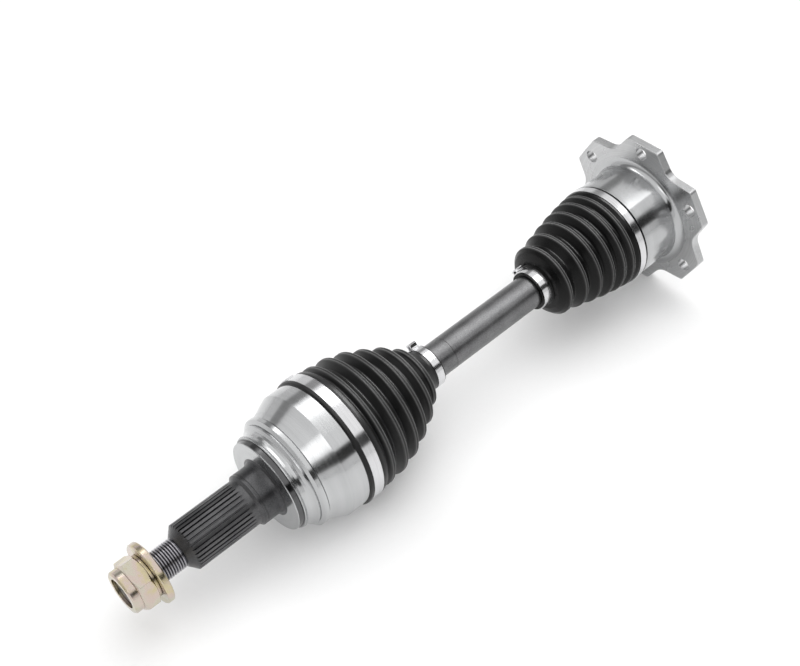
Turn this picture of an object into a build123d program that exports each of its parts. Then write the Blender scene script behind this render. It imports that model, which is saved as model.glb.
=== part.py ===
from build123d import *
import math
import os

# CV axle: a constant-velocity drive shaft with a fixed ball joint at the wheel end and a plunging
# tripod joint at the gearbox end. Millimetres. The axle lies along X: the inner flange's rear face is
# at x = 0 with its bolt circle centred on the origin, and the wheel end points along -X. +Z is up.
# Angles about X are measured from +Y towards +Z.

# ---- inner housing and its flange ----
FLANGE_T = 7.5
BOLT_PCD = 120.0
BOLT_HOLE_R = 5.5
LOBES = 6
LOBE_PHASE = 30.0
LOBE_TIP_R = 70.0
LOBE_CROWN_R = 68.4
LOBE_HALF_ANGLE = 13.0
SCALLOP_R = 58.5
SCALLOP_HALF_ANGLE = 3.0
LOBE_TIP_FILLET = 3.5
SCALLOP_FILLET = 13.0
CAN_R = 43.5
CAN_SEAT_R = 41.6
CAN_MOUTH_X = -56.6
CAN_SEAT_X = -46.6
CAN_FILLET = 6.0
FLANGE_EDGE = 0.5
HOUSING_BORE_R = 21.5
HOUSING_FUNNEL_R = 34.5
HOUSING_FUNNEL_X = -40.4
TRACK_ROOF_R = 36.0
TRACK_SIDE_GAP = 0.85
RECESS_R = 38.0
RECESS_DEPTH = 4.0
COVER_T = 1.2

# ---- tripod joint ----
TRIPOD_X = -35.4
TRUNNION_ANGLES = (90.0, 210.0, 330.0)
TRUNNION_RING_R = 26.0
TRUNNION_R = 7.6
TRUNNION_TIP_R = 34.2
ROLLER_R = 13.5
ROLLER_W = 12.0
ROLLER_BORE_R = 9.95
NEEDLE_COUNT = 22
NEEDLE_R = 1.1
NEEDLE_GAP = 0.06
NEEDLE_L = 10.4
RETAINER_R = 9.5
RETAINER_T = 0.8
HUB_R = 17.0
HUB_HALF_L = 10.0
CLIP_T = 1.6
CLIP_DEPTH = 1.2

# ---- half shaft ----
SHAFT_R = 14.0
SHAFT_SPLINE_R = 13.2
SHAFT_SPLINE_ROOT_R = 12.4
SHAFT_SPLINE_TEETH = 27
SPLINE_FIT = 0.04
RING_LINE_OFFSET = 133.0

# ---- fixed ball joint, centred on OUTER_X ----
OUTER_X = -366.6
BALL_COUNT = 6
BALL_RING_R = 35.0
BALL_R = 11.0
BALL_GAP = 0.08
CAGE_OUT_R = 39.5
CAGE_IN_R = 32.6
CAGE_HALF_W = 15.0
WINDOW_GAP = 0.05
SPHERE_GAP = 0.06
RACE_R = 32.5
RACE_HALF_W = 14.0
SWING = 23.0
BELL_FLOOR = -32.0
BELL_THROAT = 13.0
BELL_MOUTH = 24.0
BELL_MOUTH_R = 46.2

# ---- bell outside: offsets from OUTER_X, positive towards the gearbox ----
BELL_R = 52.3
BELL_SEAT_R = 50.4
BELL_SEAT = 7.6
CONE_WIDE = -7.0
CONE_NARROW = -23.6
SHOULDER_R = 44.7
FACE = -45.8
FACE_R = 36.8

# ---- wheel-end stub: offsets from the hub face, negative towards the wheel ----
NECK_R = 21.0
STUB_SPLINE_R = 18.6
STUB_SPLINE_ROOT_R = 17.2
STUB_SPLINE_TEETH = 33
GROOVE_TOP_SHARE = 0.27
GROOVE_ROOT_SHARE = 0.09
SPLINE_IN = -18.5
SPLINE_OUT = -71.7
RUNOUT_L = 5.0
THREAD_IN = -79.2
THREAD_OUT = -121.2
STUD_END = -122.6
THREAD_R = 11.9
THREAD_PITCH = 2.0
THREAD_DEPTH = 1.15
THREAD_NECK_R = 10.6

# ---- axle nut and washer: offsets from the hub face ----
WASHER_IN = -98.2
WASHER_T = 5.4
WASHER_R = 24.3
WASHER_EDGE = 0.8
NUT_GAP = 0.3
NUT_AF = 36.0
HEX_L = 12.4
HEX_PHASE = 18.0
HEX_CHAMFER_L = 2.0
NUT_NECK_R = 17.0
NUT_NECK_L = 2.2
NUT_COLLAR_R = 16.8
NUT_COLLAR_L = 6.4
NUT_COLLAR_EDGE = 1.2
NUT_BORE_R = THREAD_R + 0.08

# ---- boots and clamps ----
BOOT_WALL = 2.0
BOOT_SEAT_GAP = 0.05
BAND_T = 1.4
SMALL_BAND_T = 1.3
SMALL_LAND_R = 16.2
BAND_FIT = 0.03
EAR_SHARE = 0.86
EAR_OUTER = 41.0
EAR_OUTER_H = 4.6
EAR_INNER = 30.0
EAR_INNER_H = 3.0
EAR_HALF_W = 3.6
EAR_LEG_T = 1.1
LAP_SHARE = 0.7
LAP_T = 1.0
LAP_LENGTH = 20.0
LAP_OUTER = 33.0
LAP_INNER = 300.0

# crests (offset along X, radius) and the depth of the valley that follows each crest; the outer boot's
# offsets are from OUTER_X, and the inner boot's from CAN_MOUTH_X
OUTER_CRESTS = [
    (31.5, 52.4, 6.2),
    (45.0, 51.3, 7.6),
    (58.8, 47.6, 8.2),
    (72.4, 41.6, 8.0),
    (85.8, 34.6, 7.2),
    (97.6, 25.8, 4.2),
]
INNER_CRESTS = [
    (-66.5, 31.2, 5.0),
    (-51.4, 34.2, 5.6),
    (-38.2, 37.4, 5.6),
    (-26.0, 40.0, 5.2),
    (-14.6, 42.0, 4.2),
    (-5.0, 43.2, 2.4),
]

HUB_FACE_X = OUTER_X + FACE


# ---- helpers ----
def turned(points, rounds=None):
    """Revolve a closed (x, radius) outline about the X axis, with optional corner radii by index."""
    rounds = rounds or {}
    radii = [rounds.get(i, 0.0) for i in range(len(points))]
    outline = FilletPolyline(*points, radius=radii, close=True) if rounds else Polyline(*points, close=True)
    return revolve(make_face(outline), Axis.X)


def tube(x0, x1, r_in, r_out):
    """A plain ring along X."""
    return turned([(x0, r_in), (x1, r_in), (x1, r_out), (x0, r_out)])


def rod(x0, x1, r):
    """A plain cylinder along X."""
    return Pos((x0 + x1) / 2, 0, 0) * Rot(0, 90, 0) * Cylinder(r, x1 - x0)


def spoke(angle):
    """Turn something built along +Y to the given angle about X."""
    return Rot(angle, 0, 0)


def peg(x, y0, y1, r):
    """A cylinder whose axis is parallel to Y, at the given x."""
    return Pos(x, (y0 + y1) / 2, 0) * Rot(90, 0, 0) * Cylinder(r, y1 - y0)


def polar(r, degrees):
    """A point in the YZ plane."""
    a = math.radians(degrees)
    return (r * math.cos(a), r * math.sin(a))


def spline_bar(x0, x1, root_r, tip_r, teeth):
    """A toothed bar along X, its tooth tips flat and its roots straight."""
    points = []
    pitch = 360.0 / teeth
    for i in range(teeth):
        for fraction, r in ((-0.34, root_r), (-0.17, tip_r), (0.17, tip_r), (0.34, root_r)):
            points.append(polar(r, (i + fraction) * pitch))
    profile = make_face(Polyline(*points, close=True))
    return Pos(x0, 0, 0) * extrude(Plane.YZ * profile, x1 - x0)


def save(name, shape):
    """Write one node, as its own STEP file."""
    export_step(shape, os.path.join("parts", name + ".step"))


# ---- wheel end: bell, stub, nut ----
def thread_outline():
    """(x, radius) points of the stub's 60 degree thread, from its inner end outwards."""
    points = []
    x = THREAD_IN
    while x - THREAD_PITCH >= THREAD_OUT:
        points.append((HUB_FACE_X + x, THREAD_R))
        points.append((HUB_FACE_X + x - 0.25 * THREAD_PITCH, THREAD_R))
        points.append((HUB_FACE_X + x - 0.6 * THREAD_PITCH, THREAD_R - THREAD_DEPTH))
        points.append((HUB_FACE_X + x - 0.7 * THREAD_PITCH, THREAD_R - THREAD_DEPTH))
        x -= THREAD_PITCH
    return points


def stub_outline():
    """(x, radius) points of the bell's outside and its stub, from the mouth to the wheel end."""
    c = OUTER_X
    f = HUB_FACE_X
    bell = [
        (c + BELL_MOUTH, BELL_MOUTH_R),
        (c + BELL_MOUTH, BELL_SEAT_R),
        (c + BELL_SEAT, BELL_SEAT_R),
        (c + BELL_SEAT, BELL_R),
        (c + CONE_WIDE, BELL_R),
        (c + CONE_NARROW, SHOULDER_R),
        (c - 23.8, SHOULDER_R - 1.2),
        (c - 24.6, SHOULDER_R - 1.2),
        (c - 24.9, SHOULDER_R + 1.5),
        (c - 28.2, SHOULDER_R + 1.2),
        (c - 30.0, 43.4),
        (c - 30.2, 42.2),
        (c - 30.8, 42.2),
        (c - 31.1, 42.8),
        (c - 31.8, 42.4),
        (c - 33.4, 40.4),
        (c - 35.0, 39.3),
        (c - 37.0, 38.9),
        (c - 39.0, 39.1),
        (c - 39.6, 39.4),
        (c - 39.9, 38.6),
        (c - 40.3, 38.6),
        (c - 40.6, 39.0),
        (c - 41.1, 38.8),
        (c - 41.4, FACE_R + 0.6),
        (f + 0.9, FACE_R + 0.2),
        (f + 0.5, FACE_R + 0.4),
        (f, FACE_R),
    ]
    neck = [
        (f, NECK_R + 3.0),
        (f - 0.9, NECK_R + 1.3),
        (f - 3.6, NECK_R),
        (f - 13.6, NECK_R),
        (f - 13.9, NECK_R - 0.5),
        (f - 14.9, NECK_R - 0.5),
        (f - 15.2, NECK_R),
        (f - 16.4, NECK_R),
        (f + SPLINE_IN, STUB_SPLINE_R),
        (f + SPLINE_OUT, STUB_SPLINE_R),
        (f - 77.4, THREAD_R + 0.3),
        (f - 77.9, THREAD_NECK_R),
        (f + THREAD_IN + 0.4, THREAD_NECK_R),
    ]
    end = [
        (f + THREAD_OUT, THREAD_R),
        (f + STUD_END, THREAD_R - 1.3),
        (f + STUD_END, 0),
        (c + BELL_MOUTH, 0),
    ]
    return bell + neck + thread_outline() + end


def stub_spline_grooves():
    """The straight grooves between the stub's spline teeth, rising out of the metal at the neck."""
    pitch = 360.0 / STUB_SPLINE_TEETH
    deep = STUB_SPLINE_ROOT_R
    high = STUB_SPLINE_R + 1.0
    half_top = high * math.radians(pitch) * GROOVE_TOP_SHARE
    half_bottom = deep * math.radians(pitch) * GROOVE_ROOT_SHARE
    x_out = HUB_FACE_X + SPLINE_OUT - 8.0
    x_run = HUB_FACE_X + SPLINE_IN - 2.0 - RUNOUT_L
    section = Polyline(
        (deep, -half_bottom),
        (high, -half_top),
        (high, half_top),
        (deep, half_bottom),
        close=True,
    )
    straight = Pos(x_out, 0, 0) * extrude(Plane.YZ * make_face(section), x_run - x_out)
    lift = high - deep - 0.3
    small = Polyline(
        (deep + lift, -half_bottom * 1.2),
        (high, -half_bottom * 1.6),
        (high, half_bottom * 1.6),
        (deep + lift, half_bottom * 1.2),
        close=True,
    )
    start = Pos(x_run, 0, 0) * (Plane.YZ * make_face(section))
    finish = Pos(x_run + RUNOUT_L, 0, 0) * (Plane.YZ * make_face(small))
    cutter = straight + loft([start, finish])
    return [spoke(i * pitch) * cutter for i in range(STUB_SPLINE_TEETH)]


def ball_sweep(angle, clearance):
    """The space that one ball sweeps as the cage swings about the joint's vertical axis."""
    y, z = polar(BALL_RING_R, angle)
    r = BALL_R + clearance
    start = 90.0 - SWING if y > 0 else 270.0 - SWING
    swept = Rot(0, 0, start) * Pos(0, 0, z) * Solid.make_torus(abs(y), r, major_angle=2 * SWING)
    ends = []
    for swing in (-SWING, SWING):
        ends.append(Rot(0, 0, swing) * Pos(0, y, z) * Sphere(r))
    return swept + ends[0] + ends[1]


def tracks():
    """The ball tracks, as one cutting tool for the bell and the inner race."""
    tool = None
    for i in range(BALL_COUNT):
        lane = ball_sweep(i * 360.0 / BALL_COUNT, BALL_GAP)
        tool = lane if tool is None else tool + lane
    return Pos(OUTER_X, 0, 0) * tool


def build_outer_race(ball_tracks):
    body = turned(stub_outline())
    c = OUTER_X
    throat_r = math.sqrt((CAGE_OUT_R + SPHERE_GAP) ** 2 - BELL_THROAT ** 2)
    bowl = (Pos(c, 0, 0) * Sphere(CAGE_OUT_R + SPHERE_GAP)) & rod(c + BELL_FLOOR, c + BELL_THROAT, 60.0)
    funnel = turned([
        (c + BELL_THROAT - 0.01, 0),
        (c + BELL_THROAT - 0.01, throat_r),
        (c + BELL_MOUTH, BELL_MOUTH_R),
        (c + BELL_MOUTH + 1.0, BELL_MOUTH_R + 1.0),
        (c + BELL_MOUTH + 1.0, 0),
    ])
    body = body - bowl - funnel - ball_tracks
    body = body - stub_spline_grooves()
    centre_drill = turned([
        (HUB_FACE_X + STUD_END - 0.1, 0),
        (HUB_FACE_X + STUD_END - 0.1, 4.0),
        (HUB_FACE_X + STUD_END + 6.0, 0),
    ])
    return body - centre_drill


def build_inner_race(ball_tracks):
    body = (Pos(OUTER_X, 0, 0) * Sphere(RACE_R)) & rod(OUTER_X - RACE_HALF_W, OUTER_X + RACE_HALF_W, 60.0)
    bore = spline_bar(
        OUTER_X - RACE_HALF_W - 1,
        OUTER_X + RACE_HALF_W + 1,
        SHAFT_SPLINE_ROOT_R + SPLINE_FIT,
        SHAFT_SPLINE_R + SPLINE_FIT,
        SHAFT_SPLINE_TEETH,
    )
    return body - ball_tracks - bore


def build_cage():
    ring = Sphere(CAGE_OUT_R) - Sphere(CAGE_IN_R)
    ring = ring & rod(-CAGE_HALF_W, CAGE_HALF_W, 60.0)
    for i in range(BALL_COUNT):
        ring = ring - spoke(i * 360.0 / BALL_COUNT) * peg(0, 20, 45, BALL_R + WINDOW_GAP)
    return Pos(OUTER_X, 0, 0) * ring


def build_ball(i):
    y, z = polar(BALL_RING_R, i * 360.0 / BALL_COUNT)
    return Pos(OUTER_X, y, z) * Sphere(BALL_R)


def build_washer():
    x0 = HUB_FACE_X + WASHER_IN - WASHER_T
    x1 = HUB_FACE_X + WASHER_IN
    return turned([
        (x0, NUT_BORE_R),
        (x1, NUT_BORE_R),
        (x1, WASHER_R - WASHER_EDGE),
        (x1 - WASHER_EDGE, WASHER_R),
        (x0 + WASHER_EDGE, WASHER_R),
        (x0, WASHER_R - WASHER_EDGE),
    ])


def build_nut():
    """The axle nut: a short neck against the washer, the hexagon, and a round collar outside it."""
    face = HUB_FACE_X + WASHER_IN - WASHER_T - NUT_GAP
    x1 = face - NUT_NECK_L
    x0 = x1 - HEX_L
    end = x0 - NUT_COLLAR_L
    corner = NUT_AF / math.sqrt(3.0)
    flat = NUT_AF / 2
    section = RegularPolygon(corner, 6, rotation=HEX_PHASE)
    hexagon = Pos(x0, 0, 0) * extrude(Plane.YZ * section, HEX_L)
    chamfers = turned([
        (x0, 0),
        (x0, flat - 0.4),
        (x0 + HEX_CHAMFER_L, corner + 0.1),
        (x1 - HEX_CHAMFER_L, corner + 0.1),
        (x1, flat - 0.2),
        (x1, 0),
    ])
    collar = turned([
        (end, 0),
        (end, NUT_COLLAR_R - NUT_COLLAR_EDGE),
        (end + NUT_COLLAR_EDGE, NUT_COLLAR_R),
        (x0 + 0.5, NUT_COLLAR_R),
        (x0 + 0.5, 0),
    ])
    neck = rod(x1 - 0.5, face, NUT_NECK_R)
    return (hexagon & chamfers) + collar + neck - rod(end - 1, face + 1, NUT_BORE_R)


# ---- half shaft and what is fixed to it ----
def build_half_shaft():
    c = OUTER_X
    t = TRIPOD_X
    groove_o = c - RACE_HALF_W - 0.1
    ring = c + RING_LINE_OFFSET
    outline = [
        (c + 15.2, 0),
        (c + 15.2, SHAFT_SPLINE_R),
        (c + 17.0, SHAFT_R),
        (ring - 0.5, SHAFT_R),
        (ring - 0.3, SHAFT_R - 0.3),
        (ring + 0.3, SHAFT_R - 0.3),
        (ring + 0.5, SHAFT_R),
        (t - 14.0, SHAFT_R),
        (t - 12.6, SHAFT_SPLINE_R),
        (t - 12.6, 0),
    ]
    bar = turned(outline)
    outer_end = spline_bar(c - 17.6, c + 15.3, SHAFT_SPLINE_ROOT_R, SHAFT_SPLINE_R, SHAFT_SPLINE_TEETH)
    inner_end = spline_bar(t - 12.7, t + 14.6, SHAFT_SPLINE_ROOT_R, SHAFT_SPLINE_R, SHAFT_SPLINE_TEETH)
    body = bar + outer_end + inner_end
    groove_r = SHAFT_SPLINE_R - CLIP_DEPTH
    body = body - tube(groove_o - CLIP_T - 0.1, groove_o + 0.05, groove_r, SHAFT_R + 2)
    body = body - tube(t + HUB_HALF_L + 0.05, t + HUB_HALF_L + CLIP_T + 0.15, groove_r, SHAFT_R + 2)
    return body - tube(t - HUB_HALF_L - CLIP_T - 0.15, t - HUB_HALF_L - 0.05, groove_r, SHAFT_R + 2)


def build_clip(x0):
    """A snap ring in a shaft groove, open at its lowest point."""
    ring = tube(x0, x0 + CLIP_T, SHAFT_SPLINE_R - CLIP_DEPTH + 0.05, SHAFT_SPLINE_R + 1.5)
    gap = Pos(x0 + CLIP_T / 2, 0, -SHAFT_SPLINE_R - 0.5) * Box(CLIP_T + 1, 4.5, 6)
    return ring - gap


def build_spider():
    bore = spline_bar(
        TRIPOD_X - HUB_HALF_L - 1,
        TRIPOD_X + HUB_HALF_L + 1,
        SHAFT_SPLINE_ROOT_R + SPLINE_FIT,
        SHAFT_SPLINE_R + SPLINE_FIT,
        SHAFT_SPLINE_TEETH,
    )
    x0 = TRIPOD_X - HUB_HALF_L
    x1 = TRIPOD_X + HUB_HALF_L
    body = turned([(x0, 0), (x0, HUB_R - 1), (x0 + 1, HUB_R), (x1 - 1, HUB_R), (x1, HUB_R - 1), (x1, 0)])
    for angle in TRUNNION_ANGLES:
        body = body + spoke(angle) * peg(TRIPOD_X, 14, 19.6, HUB_HALF_L - 0.2)
        body = body + spoke(angle) * peg(TRIPOD_X, 14, TRUNNION_TIP_R, TRUNNION_R)
        groove = peg(TRIPOD_X, 33.0, 33.9, TRUNNION_R + 2) - peg(TRIPOD_X, 32.0, 34.5, TRUNNION_R - 0.7)
        body = body - spoke(angle) * groove
    return body - bore


def build_roller(angle):
    y0 = TRUNNION_RING_R - ROLLER_W / 2
    y1 = TRUNNION_RING_R + ROLLER_W / 2
    body = (Pos(TRIPOD_X, TRUNNION_RING_R, 0) * Sphere(ROLLER_R)) & peg(TRIPOD_X, y0, y1, 20.0)
    return spoke(angle) * (body - peg(TRIPOD_X, y0 - 1, y1 + 1, ROLLER_BORE_R))


def build_needles(angle):
    pitch_r = TRUNNION_R + NEEDLE_R + NEEDLE_GAP
    needles = []
    for i in range(NEEDLE_COUNT):
        dx, dz = polar(pitch_r, i * 360.0 / NEEDLE_COUNT)
        needle = peg(0, TRUNNION_RING_R - NEEDLE_L / 2, TRUNNION_RING_R + NEEDLE_L / 2, NEEDLE_R)
        needles.append(spoke(angle) * Pos(TRIPOD_X + dx, 0, dz) * needle)
    return Compound(needles)


def build_retainer(angle):
    """The washer that holds a trunnion's needles and roller on."""
    y0 = TRUNNION_RING_R + ROLLER_W / 2 + 0.1
    ring = peg(TRIPOD_X, y0, y0 + RETAINER_T, RETAINER_R) - peg(TRIPOD_X, y0 - 1, y0 + 2, TRUNNION_R + 0.05)
    return spoke(angle) * ring


def build_retainer_clip(angle):
    """The snap ring outside a trunnion's washer."""
    ring = peg(TRIPOD_X, 33.03, 33.85, TRUNNION_R + 0.8) - peg(TRIPOD_X, 32, 35, TRUNNION_R - 0.65)
    gap = Pos(TRIPOD_X + TRUNNION_R, 33.4, 0) * Box(4, 3, 3)
    return spoke(angle) * (ring - gap)


# ---- inner housing ----
def flange_plate():
    """The six-lobed flange, with its bolt holes."""
    pitch = 360.0 / LOBES
    edges = []
    for i in range(LOBES):
        middle = LOBE_PHASE + i * pitch
        tip_a = polar(LOBE_TIP_R, middle - LOBE_HALF_ANGLE)
        tip_b = polar(LOBE_TIP_R, middle + LOBE_HALF_ANGLE)
        root_a = polar(SCALLOP_R, middle + pitch / 2 - SCALLOP_HALF_ANGLE)
        root_b = polar(SCALLOP_R, middle + pitch / 2 + SCALLOP_HALF_ANGLE)
        next_tip = polar(LOBE_TIP_R, middle + pitch - LOBE_HALF_ANGLE)
        edges.append(ThreePointArc(tip_a, polar(LOBE_CROWN_R, middle), tip_b))
        edges.append(Line(tip_b, root_a))
        edges.append(ThreePointArc(root_a, polar(SCALLOP_R, middle + pitch / 2), root_b))
        edges.append(Line(root_b, next_tip))
    outline = make_face(edges)
    tips = [v for v in outline.vertices() if Vector(v.X, v.Y, 0).length > 64]
    outline = fillet(tips, LOBE_TIP_FILLET)
    roots = [v for v in outline.vertices() if Vector(v.X, v.Y, 0).length < SCALLOP_R + 0.2]
    outline = fillet(roots, SCALLOP_FILLET)
    plate = Pos(-FLANGE_T, 0, 0) * extrude(Plane.YZ * outline, FLANGE_T)
    faces = plate.faces().sort_by(Axis.X)
    plate = chamfer(faces[0].edges() + faces[-1].edges(), FLANGE_EDGE)
    for i in range(LOBES):
        y, z = polar(BOLT_PCD / 2, LOBE_PHASE + i * pitch)
        hole = Pos(-FLANGE_T / 2, y, z) * Rot(0, 90, 0) * Cylinder(BOLT_HOLE_R, FLANGE_T + 2)
        plate = plate - hole
    return plate


def build_inner_housing():
    front = -FLANGE_T
    can = turned(
        [
            (CAN_MOUTH_X, 0),
            (CAN_MOUTH_X, CAN_SEAT_R),
            (CAN_SEAT_X, CAN_SEAT_R),
            (CAN_SEAT_X + 0.6, CAN_R),
            (front, CAN_R),
            (front, CAN_R + CAN_FILLET + 2),
            (front + 3, CAN_R + CAN_FILLET + 2),
            (front + 3, 0),
        ],
        {4: CAN_FILLET},
    )
    body = can + flange_plate()
    floor_x = -RECESS_DEPTH
    bore = turned([
        (CAN_MOUTH_X - 1, 0),
        (CAN_MOUTH_X - 1, HOUSING_FUNNEL_R),
        (CAN_MOUTH_X, HOUSING_FUNNEL_R),
        (HOUSING_FUNNEL_X, HOUSING_BORE_R),
        (floor_x + 0.1, HOUSING_BORE_R),
        (floor_x + 0.1, 0),
    ])
    half_side = ROLLER_R + TRACK_SIDE_GAP
    length = floor_x - CAN_MOUTH_X + 1.1
    lane = Pos(CAN_MOUTH_X - 1 + length / 2, 20, 0) * Box(length, 40, 2 * half_side)
    lane = lane & rod(CAN_MOUTH_X - 2, 1, TRACK_ROOF_R)
    for angle in TRUNNION_ANGLES:
        bore = bore + spoke(angle) * lane
    recess = rod(floor_x, 1, RECESS_R)
    return body - bore - recess


def build_cover():
    """The pressed cover that closes the housing behind the flange: a flat disc with a turned-up rim."""
    x0 = -RECESS_DEPTH + 0.02
    rim_r = RECESS_R - 0.05
    return turned([
        (x0, 0),
        (x0, rim_r),
        (-0.6, rim_r),
        (-0.6, rim_r - COVER_T),
        (x0 + COVER_T, rim_r - COVER_T),
        (x0 + COVER_T, 14.0),
        (x0 + COVER_T + 1.2, 12.0),
        (x0 + COVER_T + 1.2, 0),
    ])


# ---- boots and clamps ----
def bellows_points(crests, shift):
    """Outer (x, radius) points through the crests and the valleys between them."""
    points = []
    for i, (x, r, depth) in enumerate(crests):
        points.append((shift + x, r))
        if i + 1 < len(crests):
            nx, nr, _ = crests[i + 1]
            points.append((shift + (x + nx) / 2, min(r, nr) - depth + abs(nr - r) / 2))
    return points


def shell(points, wall, rounding):
    """Revolve an open outer line, given a wall thickness inwards, into a closed skin."""
    inner = [(x, r - wall) for x, r in reversed(points)]
    outline = points + inner
    rounds = {}
    for i in range(2, len(points) - 2):
        rounds[i] = rounding
        rounds[len(outline) - 1 - i] = rounding
    return turned(outline, rounds)


def build_outer_boot():
    c = OUTER_X
    seat = BELL_SEAT_R + BOOT_SEAT_GAP
    small = SHAFT_R + BOOT_SEAT_GAP
    line = [(c + 20.6, 53.4), (c + 24.8, 52.9), (c + 26.8, 49.2)]
    line += bellows_points(OUTER_CRESTS, c)
    line += [(c + 103.4, 19.2), (c + 106.6, 17.4)]
    bellows = shell(line, BOOT_WALL, 1.5)
    big_end = turned([
        (c + BELL_SEAT + 0.02, seat),
        (c + 22.4, seat),
        (c + 22.4, 53.0),
        (c + 20.2, 53.4),
        (c + 20.2, 52.4),
        (c + 11.0, 52.4),
        (c + 11.0, 54.2),
        (c + BELL_SEAT + 0.02, 52.9),
    ])
    small_end = turned([
        (c + 104.0, small),
        (c + 117.6, small),
        (c + 117.6, 16.9),
        (c + 116.4, 16.9),
        (c + 116.4, SMALL_LAND_R),
        (c + 109.4, SMALL_LAND_R),
        (c + 109.4, 17.2),
        (c + 104.0, 18.6),
    ])
    return big_end + bellows + small_end


def build_inner_boot():
    m = CAN_MOUTH_X
    seat = CAN_SEAT_R + BOOT_SEAT_GAP
    small = SHAFT_R + BOOT_SEAT_GAP
    line = [(m - 74.2, 17.0), (m - 73.2, 24.0), (m - 70.4, 28.6)]
    line += bellows_points(INNER_CRESTS, m)
    line += [(m - 2.4, 42.7), (m - 0.2, 43.6)]
    bellows = shell(line, BOOT_WALL, 1.4)
    small_end = turned([
        (m - 84.6, small),
        (m - 72.6, small),
        (m - 72.6, 18.0),
        (m - 74.4, 18.0),
        (m - 74.4, SMALL_LAND_R),
        (m - 83.5, SMALL_LAND_R),
        (m - 83.5, 16.8),
        (m - 84.6, 16.4),
    ])
    big_end = turned([
        (m - 0.6, seat),
        (m + 9.4, seat),
        (m + 9.4, 44.2),
        (m + 8.4, 44.4),
        (m + 8.4, 42.8),
        (m + 1.6, 42.8),
        (m + 1.6, 44.0),
        (m - 0.6, 43.4),
    ])
    return small_end + bellows + big_end


def band_ear(width, top, height):
    """The crimped hollow ear that tightens a narrow band: two legs and a bridge, standing on +Y."""
    half = EAR_HALF_W
    leg = EAR_LEG_T
    outside = Polyline(
        (top - 0.5, -half - 0.8),
        (top + 1.0, -half + 0.5),
        (top + height - 1.0, -half),
        (top + height, -half + 1.1),
        (top + height, half - 1.1),
        (top + height - 1.0, half),
        (top + 1.0, half - 0.5),
        (top - 0.5, half + 0.8),
        close=True,
    )
    inside = Polyline(
        (top, -half + 0.4 + leg),
        (top + height - leg, -half + 0.9 + leg),
        (top + height - leg, half - 0.9 - leg),
        (top, half - 0.4 - leg),
        close=True,
    )
    section = make_face(outside) - make_face(inside)
    return Pos(-width / 2, 0, 0) * extrude(Plane.YZ * section, width)


def band_lap(width, top):
    """The flat lapped end of a wide band, bent to the band's own curve, on +Y."""
    ring = tube(-width / 2, width / 2, top - 0.3, top + LAP_T)
    return ring & Pos(0, top, 0) * Box(width, top, LAP_LENGTH)


def build_clamp(x0, x1, r, thickness):
    """A plain band, a little clear of the rubber under it."""
    return tube(x0, x1, r + BAND_FIT, r + BAND_FIT + thickness)


def build_small_clamp(x0, x1, ear_angle, ear_height):
    band = build_clamp(x0, x1, SMALL_LAND_R, SMALL_BAND_T)
    top = SMALL_LAND_R + BAND_FIT + SMALL_BAND_T
    ear = band_ear((x1 - x0) * EAR_SHARE, top, ear_height)
    return band + Pos((x0 + x1) / 2, 0, 0) * spoke(ear_angle) * ear


def build_large_clamp(x0, x1, r, lap_angle):
    band = build_clamp(x0, x1, r, BAND_T)
    lap = band_lap((x1 - x0) * LAP_SHARE, r + BAND_FIT + BAND_T)
    return band + Pos((x0 + x1) / 2, 0, 0) * spoke(lap_angle) * lap


def main():
    os.makedirs("parts", exist_ok=True)
    ball_tracks = tracks()
    save("outer_race", build_outer_race(ball_tracks))
    save("inner_race", build_inner_race(ball_tracks))
    save("ball_cage", build_cage())
    for i in range(BALL_COUNT):
        save(f"ball_{i + 1}", build_ball(i))
    save("inner_race_clip", build_clip(OUTER_X - RACE_HALF_W - 0.1 - CLIP_T))
    save("nut_washer", build_washer())
    save("axle_nut", build_nut())

    save("half_shaft", build_half_shaft())
    save("tripod_spider", build_spider())
    save("spider_clip_inboard", build_clip(TRIPOD_X + HUB_HALF_L + 0.1))
    save("spider_clip_outboard", build_clip(TRIPOD_X - HUB_HALF_L - 0.1 - CLIP_T))
    for i, angle in enumerate(TRUNNION_ANGLES):
        save(f"roller_{i + 1}", build_roller(angle))
        save(f"needle_set_{i + 1}", build_needles(angle))
        save(f"roller_washer_{i + 1}", build_retainer(angle))
        save(f"roller_clip_{i + 1}", build_retainer_clip(angle))

    save("inner_housing", build_inner_housing())
    save("housing_cover", build_cover())
    save("outer_boot", build_outer_boot())
    save("inner_boot", build_inner_boot())
    c = OUTER_X
    save("outer_boot_clamp_large", build_large_clamp(c + 11.2, c + 20.0, 52.4, LAP_OUTER))
    save("outer_boot_clamp_small", build_small_clamp(c + 109.6, c + 116.2, EAR_OUTER, EAR_OUTER_H))
    m = CAN_MOUTH_X
    save("inner_boot_clamp_small", build_small_clamp(m - 83.3, m - 74.7, EAR_INNER, EAR_INNER_H))
    save("inner_boot_clamp_large", build_large_clamp(m + 1.8, m + 8.2, 42.8, LAP_INNER))


main()
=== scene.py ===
import math

import bpy
import numpy as np
from mathutils import Matrix, Vector


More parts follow.
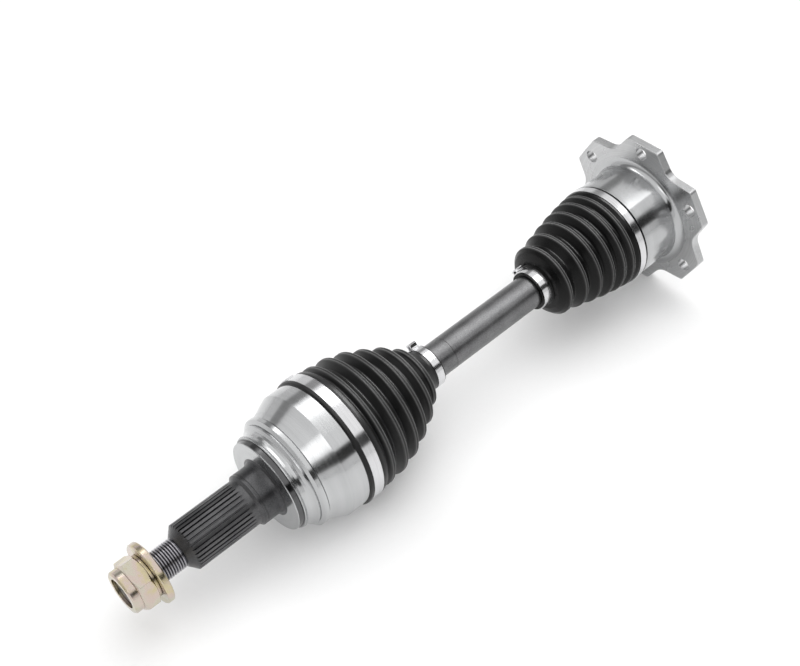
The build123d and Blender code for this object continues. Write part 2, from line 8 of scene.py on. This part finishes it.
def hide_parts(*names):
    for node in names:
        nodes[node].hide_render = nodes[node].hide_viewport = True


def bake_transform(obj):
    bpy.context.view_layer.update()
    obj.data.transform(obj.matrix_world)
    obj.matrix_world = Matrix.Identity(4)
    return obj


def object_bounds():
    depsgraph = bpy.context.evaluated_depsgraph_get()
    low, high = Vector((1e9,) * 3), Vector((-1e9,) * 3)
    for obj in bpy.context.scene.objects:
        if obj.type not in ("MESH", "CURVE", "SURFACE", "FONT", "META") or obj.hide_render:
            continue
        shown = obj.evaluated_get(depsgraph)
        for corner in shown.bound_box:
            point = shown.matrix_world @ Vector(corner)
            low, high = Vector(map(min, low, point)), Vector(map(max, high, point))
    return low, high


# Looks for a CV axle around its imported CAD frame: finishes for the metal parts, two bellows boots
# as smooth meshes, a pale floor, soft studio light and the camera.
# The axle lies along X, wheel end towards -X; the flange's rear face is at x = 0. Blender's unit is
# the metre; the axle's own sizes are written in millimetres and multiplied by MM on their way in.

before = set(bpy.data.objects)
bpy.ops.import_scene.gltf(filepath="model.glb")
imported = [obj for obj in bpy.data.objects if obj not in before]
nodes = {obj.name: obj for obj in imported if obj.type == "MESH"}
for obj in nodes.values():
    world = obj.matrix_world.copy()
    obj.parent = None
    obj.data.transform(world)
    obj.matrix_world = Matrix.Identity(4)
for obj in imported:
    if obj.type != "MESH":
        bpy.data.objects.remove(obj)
cad_low, cad_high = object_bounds()

MM = 0.001
BALL_JOINT_X = -366.6
HUB_FACE_X = BALL_JOINT_X - 45.8
GROOVE_X = (HUB_FACE_X + 0.7, HUB_FACE_X + 4.6)
NECK_EDGE_R = 24.15
THREAD_START_X = HUB_FACE_X - 77.6
THREAD_ROOT_R, THREAD_CREST_R = 11.1, 11.8
CAN_MOUTH_X = -56.6
FLANGE_START_R = 50.0
SHAFT_SEAT_R = 14.05

# where the part touches the floor: flange lobe and the lip of the outer boot, as (x, lowest z)
FLOOR_UNDER_FLANGE = (-7.0, -68.45)
FLOOR_UNDER_BELL = (BALL_JOINT_X + 11.0, -54.3)
FLOOR_HALF_M = 7.0

BEVEL_SAMPLES = 4

# the camera's place in metres, the ways its right side and its back face, and its lens in mm
CAMERA_PLACE = (-0.6939, -0.5330, 0.7555)
CAMERA_RIGHT = (0.7327, -0.6762, -0.0768)
CAMERA_BACK = (-0.4293, -0.5468, 0.7189)
CAMERA_LENS = 60.15


def grey(value):
    return (value, value, value)


# ---------------------------------------------------------------- materials
class Graph:
    """A material's or a world's node graph, with short calls for the nodes used here."""

    def __init__(self, owner):
        self.owner = owner
        owner.use_nodes = True
        self.tree = owner.node_tree

    def add(self, kind, values=None, **settings):
        node = self.tree.nodes.new(kind)
        for key, value in settings.items():
            setattr(node, key, value)
        for key, value in (values or {}).items():
            self.put(node.inputs[key], value)
        return node

    def put(self, socket, value):
        if isinstance(value, bpy.types.NodeSocket):
            self.tree.links.new(value, socket)
        else:
            socket.default_value = value

    def math(self, operation, *values, clamp=False):
        node = self.add("ShaderNodeMath", operation=operation, use_clamp=clamp)
        for i, value in enumerate(values):
            self.put(node.inputs[i], value)
        return node.outputs[0]

    def noise(self, vector, scale, detail=3.0, roughness=0.55):
        values = {"Vector": vector, "Scale": scale, "Detail": detail, "Roughness": roughness}
        return self.add("ShaderNodeTexNoise", values).outputs["Fac"]

    def span(self, value, low, high, to_low=0.0, to_high=1.0):
        values = {"Value": value, "From Min": low, "From Max": high,
                  "To Min": to_low, "To Max": to_high}
        return self.add("ShaderNodeMapRange", values).outputs["Result"]

    def above(self, value, at, width):
        """0 below the edge, 1 above it."""
        return self.span(value, at - width / 2, at + width / 2)

    def below(self, value, at, width):
        """1 below the edge, 0 above it."""
        return self.math("SUBTRACT", 1.0, self.above(value, at, width), clamp=True)

    def ramp(self, factor, stops):
        node = self.add("ShaderNodeValToRGB", {"Fac": factor})
        points = node.color_ramp.elements
        while len(points) < len(stops):
            points.new(0.5)
        for point, (position, colour) in zip(points, stops):
            point.position = position
            point.color = (*colour, 1.0)
        return node.outputs["Color"]

    def mix(self, factor, a, b):
        node = self.add("ShaderNodeMix", data_type="RGBA")
        self.put(node.inputs["Factor"], factor)
        for key, value in (("A", a), ("B", b)):
            socket = [s for s in node.inputs if s.name == key and s.type == "RGBA"][0]
            self.put(socket, (*value, 1.0) if isinstance(value, tuple) else value)
        return [s for s in node.outputs if s.type == "RGBA"][0]

    def mix_number(self, factor, a, b):
        return self.add("ShaderNodeMix", {"Factor": factor, "A": a, "B": b}).outputs[0]

    def position(self):
        """The point in the row frame, in metres."""
        return self.add("ShaderNodeTexCoord").outputs["Object"]

    def axle_coordinates(self, point):
        """x, the distance from the axle's centre line, and a vector that follows lathe marks."""
        split = self.add("ShaderNodeSeparateXYZ", {"Vector": point})
        x, y, z = split.outputs
        squares = self.math("ADD", self.math("MULTIPLY", y, y), self.math("MULTIPLY", z, z))
        radius = self.math("SQRT", squares)
        drift = self.math("MULTIPLY", self.math("ADD", y, z), 0.02)
        lathe = self.add("ShaderNodeCombineXYZ", {"X": x, "Y": radius, "Z": drift}).outputs[0]
        return x, radius, lathe

    def bump(self, height, distance, strength=1.0, normal=None):
        values = {"Height": height, "Distance": distance, "Strength": strength}
        if normal is not None:
            values["Normal"] = normal
        return self.add("ShaderNodeBump", values).outputs["Normal"]

    def soft_edge(self, radius):
        """The surface's normal with its edges broken by a small radius."""
        return self.add("ShaderNodeBevel", {"Radius": radius}, samples=BEVEL_SAMPLES).outputs[0]

    def finish(self, **sockets):
        names = {"colour": "Base Color", "roughness": "Roughness", "metallic": "Metallic",
                 "normal": "Normal", "ior": "IOR", "anisotropic": "Anisotropic",
                 "turn": "Anisotropic Rotation", "tangent": "Tangent"}
        shader = self.tree.nodes["Principled BSDF"]
        for key, value in sockets.items():
            self.put(shader.inputs[names[key]], value)
        return self.owner


def material_graph(name):
    return Graph(bpy.data.materials.new(name))


def lathe_gloss(g):
    """Shader values that stretch reflections along the axle, as fine turning marks do."""
    tangent = g.add("ShaderNodeTangent", direction_type="RADIAL", axis="X").outputs[0]
    return {"metallic": 1.0, "anisotropic": 0.8, "turn": 0.25, "tangent": tangent}


def turned_steel(name, colour, dark, roughness, marks, mark_depth=1e-6, smudge=0.03):
    """Lathe-turned steel: fine rings, faint smudges, and edges broken by a small radius."""
    g = material_graph(name)
    point = g.position()
    _, _, lathe = g.axle_coordinates(point)
    rings = g.noise(lathe, marks, 2.0)
    broad = g.noise(lathe, marks / 6.0, 2.0)
    cloud = g.noise(point, 45.0, 4.0)
    tone = g.math("ADD", g.math("MULTIPLY", rings, 0.35), g.math("MULTIPLY", broad, 0.65))
    base = g.mix(g.span(tone, 0.3, 0.7), dark, colour)
    rough = g.math("ADD", g.span(rings, 0.3, 0.7, roughness * 0.8, roughness * 1.2),
                   g.span(cloud, 0.35, 0.7, 0.0, smudge))
    normal = g.bump(rings, mark_depth, normal=g.soft_edge(0.3 * MM))
    return g.finish(colour=base, roughness=rough, metallic=1.0, normal=normal)


def bell_material():
    """The wheel-end race: polished bell, phosphated neck and spline, bright thread; painted shade
    in the groove behind the hub face and in the thread's roots.
    """
    g = material_graph("bell_steel")
    point = g.position()
    x, radius, lathe = g.axle_coordinates(point)
    rings = g.noise(lathe, 1000.0, 2.0)
    broad = g.noise(lathe, 160.0, 2.0)
    cloud = g.noise(point, 40.0, 4.0)
    grain = g.noise(point, 1500.0, 2.0)
    polished = g.mix(g.span(broad, 0.3, 0.7), (0.46, 0.465, 0.47), (0.54, 0.545, 0.55))
    # painted shade: the groove behind the hub face is coloured near black
    groove_shade = g.math("MULTIPLY", g.above(x, GROOVE_X[0] * MM, 0.2 * MM),
                    g.below(x, GROOVE_X[1] * MM, 0.2 * MM))
    polished = g.mix(groove_shade, polished, (0.11, 0.11, 0.112))
    stub = g.below(x, (HUB_FACE_X + 0.4) * MM, 0.3 * MM)
    inside_neck = g.below(radius, NECK_EDGE_R * MM, 0.3 * MM)
    phosphated = g.math("MULTIPLY", stub, inside_neck)
    thread = g.below(x, THREAD_START_X * MM, 0.4 * MM)
    mottle = g.math("ADD", g.math("MULTIPLY", cloud, 0.6), g.math("MULTIPLY", grain, 0.4))
    phosphate = g.ramp(mottle, [(0.35, (0.060, 0.060, 0.063)), (0.65, (0.150, 0.150, 0.153))])
    threaded = g.mix(g.span(grain, 0.35, 0.65), (0.36, 0.35, 0.38), (0.52, 0.51, 0.54))
    # painted shade: the thread is coloured darker towards its roots
    depth = g.span(radius, THREAD_ROOT_R * MM, THREAD_CREST_R * MM)
    threaded = g.mix(depth, (0.10, 0.10, 0.11), threaded)
    colour = g.mix(phosphated, polished, phosphate)
    colour = g.mix(thread, colour, threaded)
    rough = g.math("ADD", g.span(rings, 0.3, 0.7, 0.15, 0.20),
                   g.span(cloud, 0.4, 0.7, 0.0, 0.03))
    rough = g.mix_number(phosphated, rough, 0.42)
    rough = g.mix_number(thread, rough, 0.28)
    normal = g.bump(rings, 7e-7, normal=g.soft_edge(0.3 * MM))
    normal = g.bump(g.math("MULTIPLY", grain, phosphated), 2.5e-5, normal=normal)
    return g.finish(colour=colour, roughness=rough, normal=normal, **lathe_gloss(g))


def housing_material():
    """The tripod housing: a bright turned can, and a flange with a duller machined face."""
    g = material_graph("housing_steel")
    point = g.position()
    _, radius, lathe = g.axle_coordinates(point)
    rings = g.noise(lathe, 900.0, 2.0)
    broad = g.noise(lathe, 140.0, 2.0)
    cloud = g.noise(point, 60.0, 3.0)
    flange = g.above(radius, FLANGE_START_R * MM, 2.0 * MM)
    can = g.mix(g.span(broad, 0.3, 0.7), (0.42, 0.425, 0.43), (0.50, 0.505, 0.51))
    plate = g.mix(g.span(rings, 0.3, 0.7), (0.47, 0.473, 0.477), (0.56, 0.563, 0.567))
    colour = g.mix(flange, can, plate)
    rough = g.mix_number(flange, 0.15, 0.27)
    rough = g.math("ADD", rough, g.span(cloud, 0.4, 0.7, 0.0, 0.03))
    normal = g.bump(rings, 1e-6, normal=g.soft_edge(0.4 * MM))
    return g.finish(colour=colour, roughness=rough, normal=normal, **lathe_gloss(g))


def shaft_material():
    """The bar between the joints: grey phosphate over steel, with a fine speckle."""
    g = material_graph("shaft_coating")
    point = g.position()
    _, _, lathe = g.axle_coordinates(point)
    speckle = g.noise(point, 1300.0, 2.0)
    cloud = g.noise(point, 60.0, 4.0)
    rings = g.noise(lathe, 700.0, 2.0)
    tone = g.math("ADD", g.math("MULTIPLY", speckle, 0.55), g.math("MULTIPLY", cloud, 0.45))
    base = g.ramp(tone, [(0.36, (0.115, 0.115, 0.117)), (0.64, (0.215, 0.215, 0.218))])
    rough = g.span(cloud, 0.3, 0.7, 0.27, 0.36)
    normal = g.bump(rings, 4e-6)
    normal = g.bump(speckle, 1.2e-5, normal=normal)
    return g.finish(colour=base, roughness=rough, metallic=0.95, normal=normal)


def rubber_material(name, shade, ridge_highlight_tone, roughness, ior):
    """Moulded black rubber: fine grain, faint dusty clouds, slightly uneven gloss, and crest ridges
    lightened with painted highlight and some wear.
    """
    g = material_graph(name)
    point = g.add("ShaderNodeAttribute", attribute_name="rest_point").outputs["Vector"]
    grain = g.noise(point, 1800.0, 3.0)
    cloud = g.noise(point, 55.0, 4.0)
    wide = g.noise(point, 14.0, 2.0)
    dusty = (shade * 1.5, shade * 1.5, shade * 1.55)
    base = g.ramp(cloud, [(0.3, grey(shade * 0.75)), (0.75, dusty)])
    ridge = g.add("ShaderNodeAttribute", attribute_name="ridge").outputs["Fac"]
    # painted highlight: the crest ridges are coloured lighter, standing in for the thin bright
    # lines the light draws there, with some wear
    ridge_highlight_and_wear = g.math("MULTIPLY", ridge, g.span(wide, 0.35, 0.65, 0.6, 1.0))
    base = g.mix(ridge_highlight_and_wear, base, grey(ridge_highlight_tone))
    rough = g.math("ADD", g.span(cloud, 0.3, 0.7, roughness - 0.04, roughness + 0.05),
                   g.span(wide, 0.4, 0.7, 0.0, 0.05))
    normal = g.bump(grain, 1.4e-5)
    normal = g.bump(cloud, 1.2e-4, 0.5, normal)
    return g.finish(colour=base, roughness=rough, metallic=0.0, ior=ior, normal=normal)


def zinc_material():
    """Yellow-passivated zinc plate, its tint wandering between straw, pink and pale green."""
    g = material_graph("zinc_plate")
    point = g.position()
    _, _, lathe = g.axle_coordinates(point)
    drift = g.noise(point, 48.0, 3.0, 0.5)
    fine = g.noise(point, 420.0, 3.0)
    rings = g.noise(lathe, 800.0, 2.0)
    tint = g.math("ADD", g.math("MULTIPLY", drift, 0.85), g.math("MULTIPLY", fine, 0.15))
    base = g.ramp(tint, [(0.34, (0.44, 0.38, 0.31)), (0.42, (0.56, 0.49, 0.31)),
                         (0.50, (0.58, 0.48, 0.43)), (0.58, (0.55, 0.52, 0.43)),
                         (0.68, (0.50, 0.45, 0.28))])
    rough = g.span(fine, 0.3, 0.7, 0.16, 0.26)
    normal = g.bump(rings, 1e-6, normal=g.soft_edge(0.6 * MM))
    normal = g.bump(fine, 6e-6, normal=normal)
    return g.finish(colour=base, roughness=rough, metallic=1.0, normal=normal)


def band_material():
    """Bright rolled stainless strip, with faint lines along the band."""
    g = material_graph("clamp_stainless")
    point = g.position()
    _, _, lathe = g.axle_coordinates(point)
    lines = g.noise(lathe, 1600.0, 2.0)
    cloud = g.noise(point, 70.0, 3.0)
    base = g.mix(g.span(lines, 0.3, 0.7), (0.60, 0.60, 0.61), (0.72, 0.72, 0.73))
    rough = g.math("ADD", g.span(lines, 0.3, 0.7, 0.10, 0.17), g.span(cloud, 0.4, 0.7, 0.0, 0.04))
    normal = g.bump(lines, 5e-7, normal=g.soft_edge(0.25 * MM))
    return g.finish(colour=base, roughness=rough, metallic=1.0, normal=normal)


def give(material, *names):
    for name in names:
        slots = nodes[name].data.materials
        slots.clear()
        slots.append(material)


def dress_metal():
    give(bell_material(), "outer_race")
    give(housing_material(), "inner_housing")
    give(shaft_material(), "half_shaft")
    give(zinc_material(), "axle_nut", "nut_washer")
    give(band_material(), *[n for n in nodes if "_boot_clamp_" in n])
    cover = turned_steel("cover_sheet", (0.50, 0.50, 0.48), (0.38, 0.38, 0.36), 0.34, 500.0)
    give(cover, "housing_cover")
    bearing = turned_steel("bearing_steel", (0.78, 0.78, 0.79), (0.70, 0.70, 0.71), 0.09,
                           marks=1500.0, mark_depth=5e-7, smudge=0.02)
    rolling = [n for n in nodes if n.startswith(("ball_", "needle_set_")) and n != "ball_cage"]
    give(bearing, *rolling)
    give(bearing, "roller_1", "roller_2", "roller_3")
    spring = turned_steel("spring_steel", (0.20, 0.21, 0.25), (0.11, 0.115, 0.14), 0.3, 700.0)
    give(spring, *[n for n in nodes if "_clip" in n or "roller_washer_" in n])
    forged = turned_steel("forged_steel", (0.42, 0.42, 0.43), (0.30, 0.30, 0.31), 0.26, 500.0)
    give(forged, "inner_race", "ball_cage", "tripod_spider")


# ---------------------------------------------------------------- boots
BOOT_WALL = 2.0
TURNS = 288
ARC_STEP = math.radians(9.0)
SHARP_ANGLE = math.radians(50.0)
MAX_CUT_SHARE = 0.48
MIN_INNER_STEP = 0.02
VALLEY_ROUND = 1.3

# the two moulding ridges on each crest: half their spacing, the dip between them, the width of
# their lighter colour, a painted highlight with some wear; and the shoulders beside them
RIDGE_HALF = 1.15
RIDGE_FLANK = 0.25
RIDGE_DIP = 0.32
RIDGE_REACH = 0.6
RIDGE_BAND = 0.5
SHOULDER_HALF = 2.3
SHOULDER_DROP = 1.25
SHOULDER_ROUND = 1.6

# where the inner boot is cut in two, as one piece can bend across one joint only
SPLIT_X = CAN_MOUTH_X - 20.3
BOOT_PIECES = ("outer_boot_skin", "inner_boot_shaft_half", "inner_boot_housing_half")

# crests as (offset, radius, depth of the valley that follows); the outer boot's offsets are from
# the ball joint, and the inner boot's from the housing's mouth
OUTER_CRESTS = [(31.5, 52.4, 6.2), (45.0, 51.3, 7.6), (58.8, 47.6, 8.2),
                (72.4, 41.6, 8.0), (85.8, 34.6, 7.2), (97.6, 25.8, 4.2)]
INNER_CRESTS = [(-66.5, 31.2, 5.0), (-51.4, 34.2, 5.6), (-38.2, 37.4, 5.6),
                (-26.0, 40.0, 5.2), (-14.6, 42.0, 4.2), (-5.0, 43.2, 2.4)]


def rounded(corners):
    """A fine (x, radius) line through (x, radius, corner radius) points."""
    points = []
    for i, (x, r, size) in enumerate(corners):
        if i in (0, len(corners) - 1) or size <= 0:
            points.append((x, r))
            continue
        here = Vector((x, r))
        back = Vector(corners[i - 1][:2]) - here
        ahead = Vector(corners[i + 1][:2]) - here
        bend = back.angle(ahead)
        cut = min(size / math.tan(bend / 2), back.length * MAX_CUT_SHARE,
                  ahead.length * MAX_CUT_SHARE)
        size = cut * math.tan(bend / 2)
        middle = (back.normalized() + ahead.normalized()).normalized()
        centre = here + middle * (size / math.sin(bend / 2))
        start = here + back.normalized() * cut - centre
        sweep = start.angle_signed(here + ahead.normalized() * cut - centre)
        steps = max(2, math.ceil(abs(sweep) / ARC_STEP))
        for k in range(steps + 1):
            turned = start.copy()
            turned.rotate(Matrix.Rotation(-sweep * k / steps, 2))
            points.append(tuple(centre + turned))
    return points


def crest_corners(x, r):
    """One crest: a shoulder, two fine moulding ridges with a dip between, and a shoulder."""
    ridge, flank = RIDGE_HALF, RIDGE_FLANK
    return [(x - SHOULDER_HALF, r - SHOULDER_DROP, SHOULDER_ROUND),
            (x - ridge - flank, r - 0.15, flank), (x - ridge + flank, r, flank),
            (x, r - RIDGE_DIP, 0.3),
            (x + ridge - flank, r, flank), (x + ridge + flank, r - 0.15, flank),
            (x + SHOULDER_HALF, r - SHOULDER_DROP, SHOULDER_ROUND)]


def bellows_corners(crests, shift):
    corners = []
    for i, (x, r, depth) in enumerate(crests):
        corners += crest_corners(shift + x, r)
        if i + 1 < len(crests):
            next_x, next_r, _ = crests[i + 1]
            floor_r = min(r, next_r) - depth + abs(next_r - r) / 2
            corners.append((shift + (x + next_x) / 2, floor_r, VALLEY_ROUND))
    return corners


def ridge_share(x, r, crests, shift):
    """1 on the fine moulding ridges that the mould leaves on each crest, 0 elsewhere."""
    share = 0.0
    for cx, cr, _ in crests:
        off = abs(abs(x - shift - cx) - RIDGE_HALF)
        if r > cr - RIDGE_BAND:
            share = max(share, 1.0 - off / RIDGE_REACH)
    return share


def skin(name, outer, inner, material, crests, shift):
    """A closed rubber tube: the outer line, then the inner line back, turned about the axle."""
    loop = outer + inner[::-1]
    count = len(loop)
    angles = np.linspace(0.0, 2 * math.pi, TURNS, endpoint=False)
    x = np.repeat([p[0] for p in loop], TURNS)
    r = np.repeat([p[1] for p in loop], TURNS)
    a = np.tile(angles, count)
    vertices = np.column_stack([x, r * np.cos(a), r * np.sin(a)]) * MM
    faces = []
    for i in range(count):
        j = (i + 1) % count
        for k in range(TURNS):
            n = (k + 1) % TURNS
            faces.append((i * TURNS + k, j * TURNS + k, j * TURNS + n, i * TURNS + n))
    mesh = bpy.data.meshes.new(name)
    mesh.from_pydata(vertices.tolist(), [], faces)
    mesh.polygons.foreach_set("use_smooth", [True] * len(mesh.polygons))
    mesh.update()
    rest = mesh.attributes.new("rest_point", "FLOAT_VECTOR", "POINT")
    rest.data.foreach_set("vector", vertices.ravel())
    ridge = mesh.attributes.new("ridge", "FLOAT", "POINT")
    shares = [ridge_share(*p, crests, shift) for p in loop]
    ridge.data.foreach_set("value", np.repeat(shares, TURNS))
    mesh.set_sharp_from_angle(angle=SHARP_ANGLE)
    piece = bpy.data.objects.new(name, mesh)
    bpy.context.scene.collection.objects.link(piece)
    mesh.materials.append(material)
    return piece


def inner_side(line):
    """The line moved inwards by the wall, by the line's own normals, without folding back."""
    path = np.array(line)
    step = np.gradient(path, axis=0)
    normal = np.column_stack([step[:, 1], -step[:, 0]])
    normal /= np.linalg.norm(normal, axis=1)[:, None]
    moved = path + normal * BOOT_WALL
    keep = [0]
    for i in range(1, len(moved)):
        if moved[i, 0] > moved[keep[-1], 0] + MIN_INNER_STEP:
            keep.append(i)
    return [tuple(moved[i]) for i in keep]


def build_outer_boot():
    """The boot from the bell's seat to the shaft; the two flat runs are the clamps' seats."""
    c = BALL_JOINT_X
    seat_r, band_r, small_band_r = 50.45, 52.42, 16.22
    lip = [(c + 7.62, seat_r, 0), (c + 7.62, 52.9, 0.5), (c + 8.6, 53.9, 0.6),
           (c + 11.0, 54.2, 0.5), (c + 11.05, band_r, 0.1), (c + 20.15, band_r, 0.1),
           (c + 20.2, 53.3, 0.3), (c + 22.2, 53.4, 0.8), (c + 24.9, 52.8, 1.0),
           (c + 27.0, 48.6, 1.2)]
    small = [(c + 101.2, 20.6, 1.2), (c + 104.0, 18.8, 1.0), (c + 107.0, 17.6, 0.8),
             (c + 109.3, 17.3, 0.3), (c + 109.4, small_band_r, 0.1), (c + 116.4, small_band_r, 0.1),
             (c + 116.45, 16.9, 0.3), (c + 117.5, 16.9, 0.4), (c + 117.6, SHAFT_SEAT_R, 0)]
    outer = rounded(lip + bellows_corners(OUTER_CRESTS, c) + small)
    inside = [p for p in inner_side(outer) if c + 23.0 < p[0] < c + 103.0]
    inner = [(c + 22.4, seat_r)] + inside + [(c + 104.0, SHAFT_SEAT_R)]
    material = rubber_material("outer_boot_rubber", 0.005, 0.085, 0.34, 1.34)
    boot = skin("outer_boot_skin", outer, inner, material, OUTER_CRESTS, c)
    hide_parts("outer_boot")
    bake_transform(boot)


def build_inner_boot():
    """The boot from the shaft to the housing's mouth, in two pieces that meet at the split."""
    m = CAN_MOUTH_X
    seat_r, band_r, small_band_r = 41.65, 42.82, 16.22
    material = rubber_material("inner_boot_rubber", 0.0025, 0.12, 0.24, 1.27)
    small = [(m - 84.6, SHAFT_SEAT_R, 0), (m - 84.6, 16.6, 0.4), (m - 83.5, 16.8, 0.2),
             (m - 83.45, small_band_r, 0.1), (m - 74.5, small_band_r, 0.1), (m - 74.4, 17.6, 0.3),
             (m - 73.6, 18.6, 0.4), (m - 73.1, 18.2, 0.3), (m - 72.9, 22.6, 1.8),
             (m - 70.9, 28.0, 3.0)]
    large = [(m - 2.7, 42.0, 0.6), (m - 0.3, 43.7, 0.8), (m + 1.55, 44.0, 0.4),
             (m + 1.6, band_r, 0.1), (m + 8.4, band_r, 0.1), (m + 8.5, 44.3, 0.3),
             (m + 9.4, 44.2, 0.3), (m + 9.4, seat_r, 0)]
    outer = rounded(small + bellows_corners(INNER_CRESTS, m) + large)
    inside = [p for p in inner_side(outer) if m - 71.5 < p[0] < m - 0.8]
    inner = [(m - 72.6, SHAFT_SEAT_R)] + inside + [(m - 0.4, seat_r)]
    wheel_side = cut_line(outer, high=SPLIT_X), cut_line(inner, high=SPLIT_X)
    gearbox_side = cut_line(outer, low=SPLIT_X), cut_line(inner, low=SPLIT_X)
    shaft_half = skin("inner_boot_shaft_half", *wheel_side, material, INNER_CRESTS, m)
    housing_half = skin("inner_boot_housing_half", *gearbox_side, material, INNER_CRESTS, m)
    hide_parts("inner_boot")
    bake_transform(shaft_half)
    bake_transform(housing_half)


def cut_line(line, low=-1e9, high=1e9):
    """The part of an (x, radius) line between two x values, with a point put in at each cut."""
    kept = []
    for a, b in zip(line, line[1:]):
        for edge in (low, high):
            if (a[0] - edge) * (b[0] - edge) < 0:
                t = (edge - a[0]) / (b[0] - a[0])
                kept.append((edge, a[1] + (b[1] - a[1]) * t))
        if low < b[0] < high:
            kept.append(b)
    if low < line[0][0] < high:
        kept.insert(0, line[0])
    return kept


# ---------------------------------------------------------------- stage
def build_floor():
    """A flat sheet through the two points where the axle rests."""
    (x0, z0), (x1, z1) = FLOOR_UNDER_BELL, FLOOR_UNDER_FLANGE
    slope = (z1 - z0) / (x1 - x0)
    half = FLOOR_HALF_M
    corners = []
    for x, y in ((-half, -half), (half, -half), (half, half), (-half, half)):
        corners.append((x, y, (z0 + slope * (x / MM - x0)) * MM))
    mesh = bpy.data.meshes.new("floor")
    mesh.from_pydata(corners, [], [(0, 1, 2, 3)])
    floor = bpy.data.objects.new("floor", mesh)
    bpy.context.scene.collection.objects.link(floor)
    g = material_graph("floor_paper")
    grain = g.noise(g.position(), 300.0, 2.0)
    colour = g.mix(grain, grey(0.88), grey(0.90))
    mesh.materials.append(g.finish(colour=colour, roughness=0.6, metallic=0.0))


def build_light():
    """A bright studio sky with a dark gap above the horizon, and soft boxes overhead."""
    build_sky()
    softbox("key_softbox", (0.30, 0.28, 1.25), (1.9, 0.42), 2.2)
    softbox("fill_softbox", (-1.3, -0.9, 1.1), (0.5, 1.2), 1.2)
    rim = softbox("boot_softbox", (0.45, -0.05, 1.1), (1.3, 0.5), 16.0)
    wash = softbox("floor_wash", (0.0, -0.6, 2.6), (2.0, 2.0), 1.6)
    stage = group("stage", ["floor"])
    wash.light_linking.receiver_collection = stage
    wash.light_linking.blocker_collection = stage
    rim.light_linking.receiver_collection = group("boots", BOOT_PIECES)


def build_sky():
    """Grey by height, one ramp for the side towards -Y and one for the side towards +Y."""
    world = bpy.data.worlds.new("studio")
    bpy.context.scene.world = world
    g = Graph(world)
    direction = g.add("ShaderNodeTexCoord").outputs["Generated"]
    _, y, z = g.add("ShaderNodeSeparateXYZ", {"Vector": direction}).outputs
    height = g.span(z, -1.0, 1.0)
    near = g.ramp(height, [(0.0, grey(0.85)), (0.60, grey(0.85)), (0.615, grey(0.04)),
                           (0.755, grey(0.04)), (0.775, grey(1.15)), (1.0, grey(1.1))])
    far = g.ramp(height, [(0.0, grey(0.85)), (0.66, grey(0.8)), (0.68, grey(0.35)),
                          (0.80, grey(0.35)), (0.82, grey(1.0)), (1.0, grey(1.1))])
    sky = g.mix(g.span(y, -0.1, 0.1), near, far)
    background = g.tree.nodes["Background"]
    seen = g.add("ShaderNodeLightPath").outputs["Is Camera Ray"]
    g.put(background.inputs["Color"], g.mix(seen, sky, grey(0.95)))
    background.inputs["Strength"].default_value = 1.0


def group(name, pieces):
    """A collection that a light can be limited to."""
    collection = bpy.data.collections.new(name)
    for piece in pieces:
        collection.objects.link(bpy.data.objects[piece])
    return collection


def softbox(name, place, size, radiance):
    """A rectangular light that faces the middle of the axle."""
    light = bpy.data.lights.new(name, "AREA")
    light.shape = "RECTANGLE"
    light.size, light.size_y = size
    light.energy = radiance * math.pi * size[0] * size[1]
    lamp = bpy.data.objects.new(name, light)
    bpy.context.scene.collection.objects.link(lamp)
    middle = (cad_low + cad_high) / 2
    lamp.location = place
    lamp.rotation_mode = "QUATERNION"
    lamp.rotation_quaternion = (Vector(place) - middle).to_track_quat("Z", "Y")
    return lamp


def build_camera():
    data = bpy.data.cameras.new("camera")
    data.sensor_fit = "HORIZONTAL"
    data.sensor_width = 36.0
    data.lens = CAMERA_LENS
    data.clip_start, data.clip_end = 0.01, 50.0
    camera = bpy.data.objects.new("camera", data)
    bpy.context.scene.collection.objects.link(camera)
    right = Vector(CAMERA_RIGHT).normalized()
    back = Vector(CAMERA_BACK).normalized()
    up = back.cross(right).normalized()
    turn = Matrix((right, up, back)).transposed()
    camera.matrix_world = Matrix.Translation(CAMERA_PLACE) @ turn.to_4x4()
    bpy.context.scene.camera = camera


dress_metal()
build_outer_boot()
build_inner_boot()
build_floor()
build_light()
build_camera()
bpy.context.scene.view_settings.view_transform = "Standard"
